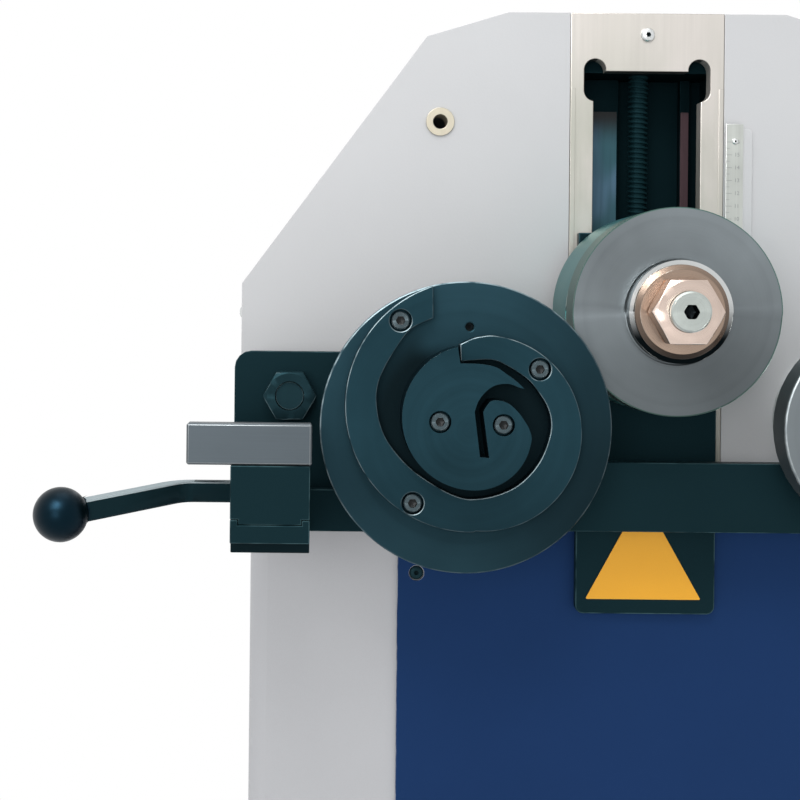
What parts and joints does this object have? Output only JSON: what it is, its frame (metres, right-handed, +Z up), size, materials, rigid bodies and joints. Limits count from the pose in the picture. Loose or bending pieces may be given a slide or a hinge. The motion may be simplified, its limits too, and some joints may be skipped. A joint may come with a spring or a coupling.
{
  "type": "ring roller",
  "caption": "Floor-standing ring roller: driven lower shafts, a screw-lowered top roller on a slide, and a scroll former with a lever-locked bar guide.",
  "frame": {"origin": "middle of the underside of the base plate, on the floor", "axes": "+Z up, +X to the operator's right, -Y towards the operator"},
  "size_m": [0.8307, 0.6921, 1.2668],
  "materials": {
    "light_grey_paint": "satin light grey paint",
    "column_grey_paint": "satin grey paint",
    "blue_paint": "satin dark blue paint",
    "dark_machine_paint": "dark blue-green machine paint",
    "black_oxide_steel": "blackened steel",
    "ground_steel": "fine turned or ground steel",
    "bright_steel": "bright turned steel",
    "nickel_plate": "dull warm nickel plate",
    "copper_toned_nickel": "pinkish bright plate",
    "ball_black": "gloss black",
    "stop_red": "gloss red",
    "start_green": "gloss green"
  },
  "bodies": {
    "frame": {"base_plate": "dark_machine_paint", "cabinet_shell": "column_grey_paint", "cabinet_deck": "column_grey_paint", "rear_panel": "column_grey_paint", "drive_hood": "column_grey_paint", "control_box": "column_grey_paint", "front_panel": "blue_paint", "gear_motor": "blue_paint", "head_front_plate": "light_grey_paint", "head_rear_plate": "light_grey_paint", "head_shroud": "light_grey_paint", "ruler_strip": "light_grey_paint", "ruler": "bright_steel", "bush_left": "nickel_plate", "bush_right": "nickel_plate", "slide_channel": "nickel_plate", "slide_way": "black_oxide_steel", "spindle_block": "dark_machine_paint", "gearbox": "dark_machine_paint", "scroll_beam": "dark_machine_paint", "guide_base": "dark_machine_paint", "left_bearing": "bright_steel", "right_bearing": "bright_steel", "left_stud": "black_oxide_steel", "right_stud": "black_oxide_steel", "left_stud_nut": "black_oxide_steel", "right_stud_nut": "black_oxide_steel"},
    "left_roll": {"left_shaft": "bright_steel", "left_spacer": "black_oxide_steel", "left_gear": "ground_steel", "former_disc": "black_oxide_steel", "former_arm": "black_oxide_steel", "former_hub": "black_oxide_steel", "former_arm_screw_1": "black_oxide_steel", "former_arm_screw_2": "black_oxide_steel", "former_arm_screw_3": "black_oxide_steel", "former_hub_screw_1": "black_oxide_steel", "former_hub_screw_2": "black_oxide_steel"},
    "right_roll": {"right_shaft": "bright_steel", "right_spacer": "black_oxide_steel", "right_gear": "ground_steel", "right_roller": "ground_steel", "right_collar": "copper_toned_nickel", "right_nut": "copper_toned_nickel"},
    "pinion": {"drive_pinion": "ground_steel"},
    "carriage": {"carriage_block": "dark_machine_paint", "carriage_face": "dark_machine_paint", "top_axle": "bright_steel", "top_washer": "copper_toned_nickel", "top_nut": "copper_toned_nickel"},
    "top_roll": {"top_sleeve": "black_oxide_steel", "top_rear_ring": "ground_steel", "top_front_ring": "ground_steel"},
    "spindle": {"lift_spindle": "dark_machine_paint"},
    "guide": {"guide_slide": "dark_machine_paint", "guide_jaw": "ground_steel"},
    "lever": {"clamp_lever": "black_oxide_steel", "ball_knob": "ball_black"},
    "stop": {"stop_button": "stop_red"},
    "start": {"start_button": "start_green"}
  },
  "joints": [
    {"name": "left_shaft_spin", "type": "hinge", "parent": "frame", "child": "left_roll", "pos_m": [-0.152, -0.25, 0.9503], "axis": [0, 1, 0], "continuous": true},
    {"name": "right_shaft_spin", "type": "hinge", "parent": "frame", "child": "right_roll", "pos_m": [0.152, -0.25, 0.9503], "axis": [0, 1, 0], "continuous": true},
    {"name": "pinion_spin", "type": "hinge", "parent": "frame", "child": "pinion", "pos_m": [0, -0.25, 0.98539], "axis": [0, 1, 0], "continuous": true},
    {"name": "carriage_slide", "type": "slide", "parent": "frame", "child": "carriage", "axis": [0, 0, 1], "range_m": [-0.02, 0.11]},
    {"name": "top_roller_spin", "type": "hinge", "parent": "carriage", "child": "top_roll", "pos_m": [0, -0.25, 1.0333], "axis": [0, 1, 0], "continuous": true},
    {"name": "spindle_turn", "type": "hinge", "parent": "frame", "child": "spindle", "pos_m": [0, -0.218, 1.2], "axis": [0, 0, 1], "range_deg": [-1805, 9905]},
    {"name": "guide_slide_move", "type": "slide", "parent": "frame", "child": "guide", "axis": [0, -1, 0], "range_m": [-0.008, 0.02]},
    {"name": "clamp_lever_turn", "type": "hinge", "parent": "guide", "child": "lever", "pos_m": [-0.3155, -0.362, 0.9036], "axis": [1, 0, 0], "range_deg": [-60, 75]},
    {"name": "stop_press", "type": "slide", "parent": "frame", "child": "stop", "axis": [0, 1, 0], "range_m": [0, 0.005], "stiffness_N_per_m": 500, "springref_m": -0.002},
    {"name": "start_press", "type": "slide", "parent": "frame", "child": "start", "axis": [0, 1, 0], "range_m": [0, 0.005], "stiffness_N_per_m": 500, "springref_m": -0.002}
  ],
  "couplings": [
    {"joint": "right_shaft_spin", "follows": "left_shaft_spin", "ratio": 1},
    {"joint": "pinion_spin", "follows": "left_shaft_spin", "ratio": -1.6667},
    {"joint": "spindle_turn", "follows": "carriage_slide", "rad_per_m": 1570.8}
  ]
}
